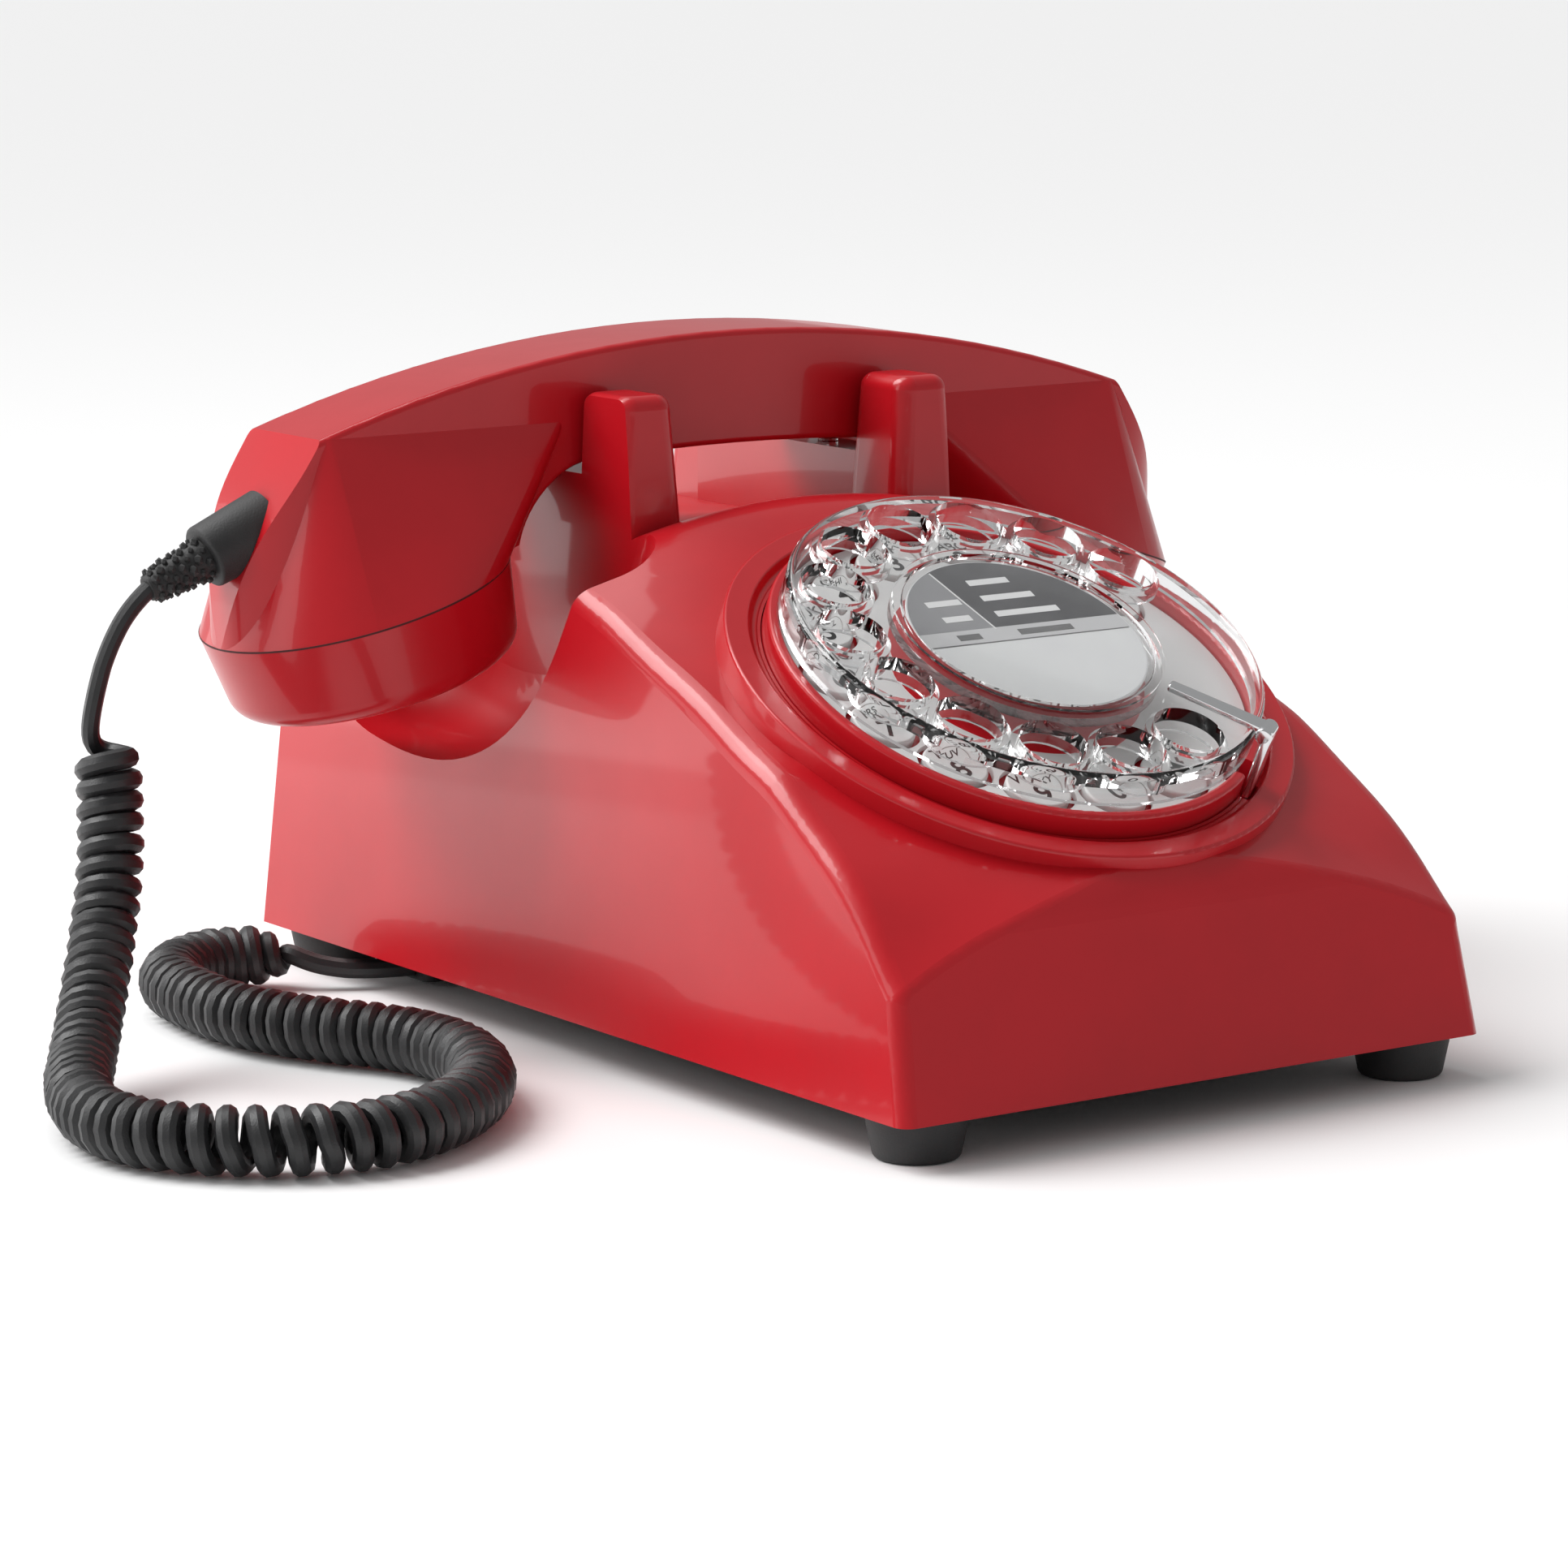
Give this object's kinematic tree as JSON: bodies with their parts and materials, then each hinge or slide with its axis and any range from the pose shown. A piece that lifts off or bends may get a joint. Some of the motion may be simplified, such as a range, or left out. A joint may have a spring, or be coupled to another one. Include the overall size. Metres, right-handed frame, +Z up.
{
  "type": "corded telephone",
  "caption": "Red desk telephone with a clear rotary finger wheel, a handset resting in a horned cradle and a curly handset cord.",
  "frame": {"origin": "on the table, below the centre of the case and handset", "axes": "+X to the user's right, +Y away from the user, +Z up"},
  "size_m": [0.2827, 0.2194, 0.129],
  "materials": {
    "red_shell": "moulded, polished",
    "black_plastic": "fine grain",
    "black_rubber": "matt",
    "zinc_steel": "zinc plated",
    "pale_plate": "satin",
    "grey_disc": "satin",
    "bright_chrome": "polished",
    "brass_parts": "turned",
    "cord_black": "satin",
    "coil_wrap": "varnished tape",
    "board_green": "solder mask",
    "part_grey": "moulded",
    "clear_plastic": "polished clear acrylic",
    "label_print": "printed card",
    "clear_cover": "clear cover"
  },
  "bodies": {
    "root": {"case": "red_shell", "base_plate": "black_plastic", "foot_front_left": "black_rubber", "foot_front_right": "black_rubber", "foot_rear_left": "black_rubber", "foot_rear_right": "black_rubber", "base_screws": "zinc_steel", "bezel_ring": "red_shell", "dial_cup": "red_shell", "number_plate": "pale_plate", "number_discs": "grey_disc", "finger_stop": "bright_chrome", "dial_frame": "zinc_steel", "contact_stack": "black_plastic", "contact_springs": "brass_parts", "hanging_coil": "cord_black", "base_lead": "cord_black", "cord_gland": "black_rubber", "gong_left": "brass_parts", "gong_right": "brass_parts", "ringer_frame": "zinc_steel", "ringer_coils": "coil_wrap", "hook_switch": "black_plastic", "switch_bracket": "zinc_steel", "circuit_board": "board_green", "board_posts": "black_plastic", "components": "part_grey", "line_socket": "black_plastic", "terminal_block": "black_plastic", "ballast": "zinc_steel"},
    "dial": {"finger_wheel": "clear_plastic", "label_card": "label_print", "label_cover": "clear_cover", "dial_spindle": "zinc_steel", "main_gear": "brass_parts"},
    "pinion": {"pulse_pinion": "brass_parts"},
    "governor": {"governor": "brass_parts"},
    "striker": {"striker": "zinc_steel"},
    "hook": {"hook_bar": "clear_plastic"},
    "handset": {"handset_body": "red_shell", "mouth_cap": "red_shell", "ear_cap": "red_shell", "transmitter": "part_grey", "receiver": "part_grey", "cord_boot": "black_rubber", "handset_lead": "cord_black"}
  },
  "joints": [
    {"name": "dial_turn", "type": "hinge", "parent": "root", "child": "dial", "pos_m": [0, -0.0581, 0.0815], "axis": [0, -0.4617, 0.887], "range_deg": [-332, 0], "stiffness_Nm_per_rad": 0.004, "springref_deg": 22.92},
    {"name": "pinion_turn", "type": "hinge", "parent": "root", "child": "pinion", "pos_m": [0, -0.02434, 0.07653], "axis": [0, -0.4617, 0.887], "range_deg": [0, 1328]},
    {"name": "governor_turn", "type": "hinge", "parent": "root", "child": "governor", "pos_m": [-0.01327, -0.02862, 0.0743], "axis": [0, -0.4617, 0.887], "range_deg": [-3984, 0]},
    {"name": "striker_swing", "type": "hinge", "parent": "root", "child": "striker", "pos_m": [0, 0.052, 0.036], "axis": [0, 0, 1], "range_deg": [-2.2, 2.2], "stiffness_Nm_per_rad": 0.002},
    {"name": "handset_lift", "type": "slide", "parent": "root", "child": "handset", "axis": [0, 0, 1], "range_m": [0, 0.08]},
    {"name": "hook_travel", "type": "slide", "parent": "root", "child": "hook", "axis": [0, 0, 1], "range_m": [0, 0.004]}
  ],
  "couplings": [
    {"joint": "pinion_turn", "follows": "dial_turn", "ratio": -4},
    {"joint": "governor_turn", "follows": "dial_turn", "ratio": 12},
    {"joint": "hook_travel", "follows": "handset_lift", "ratio": 0.05}
  ]
}
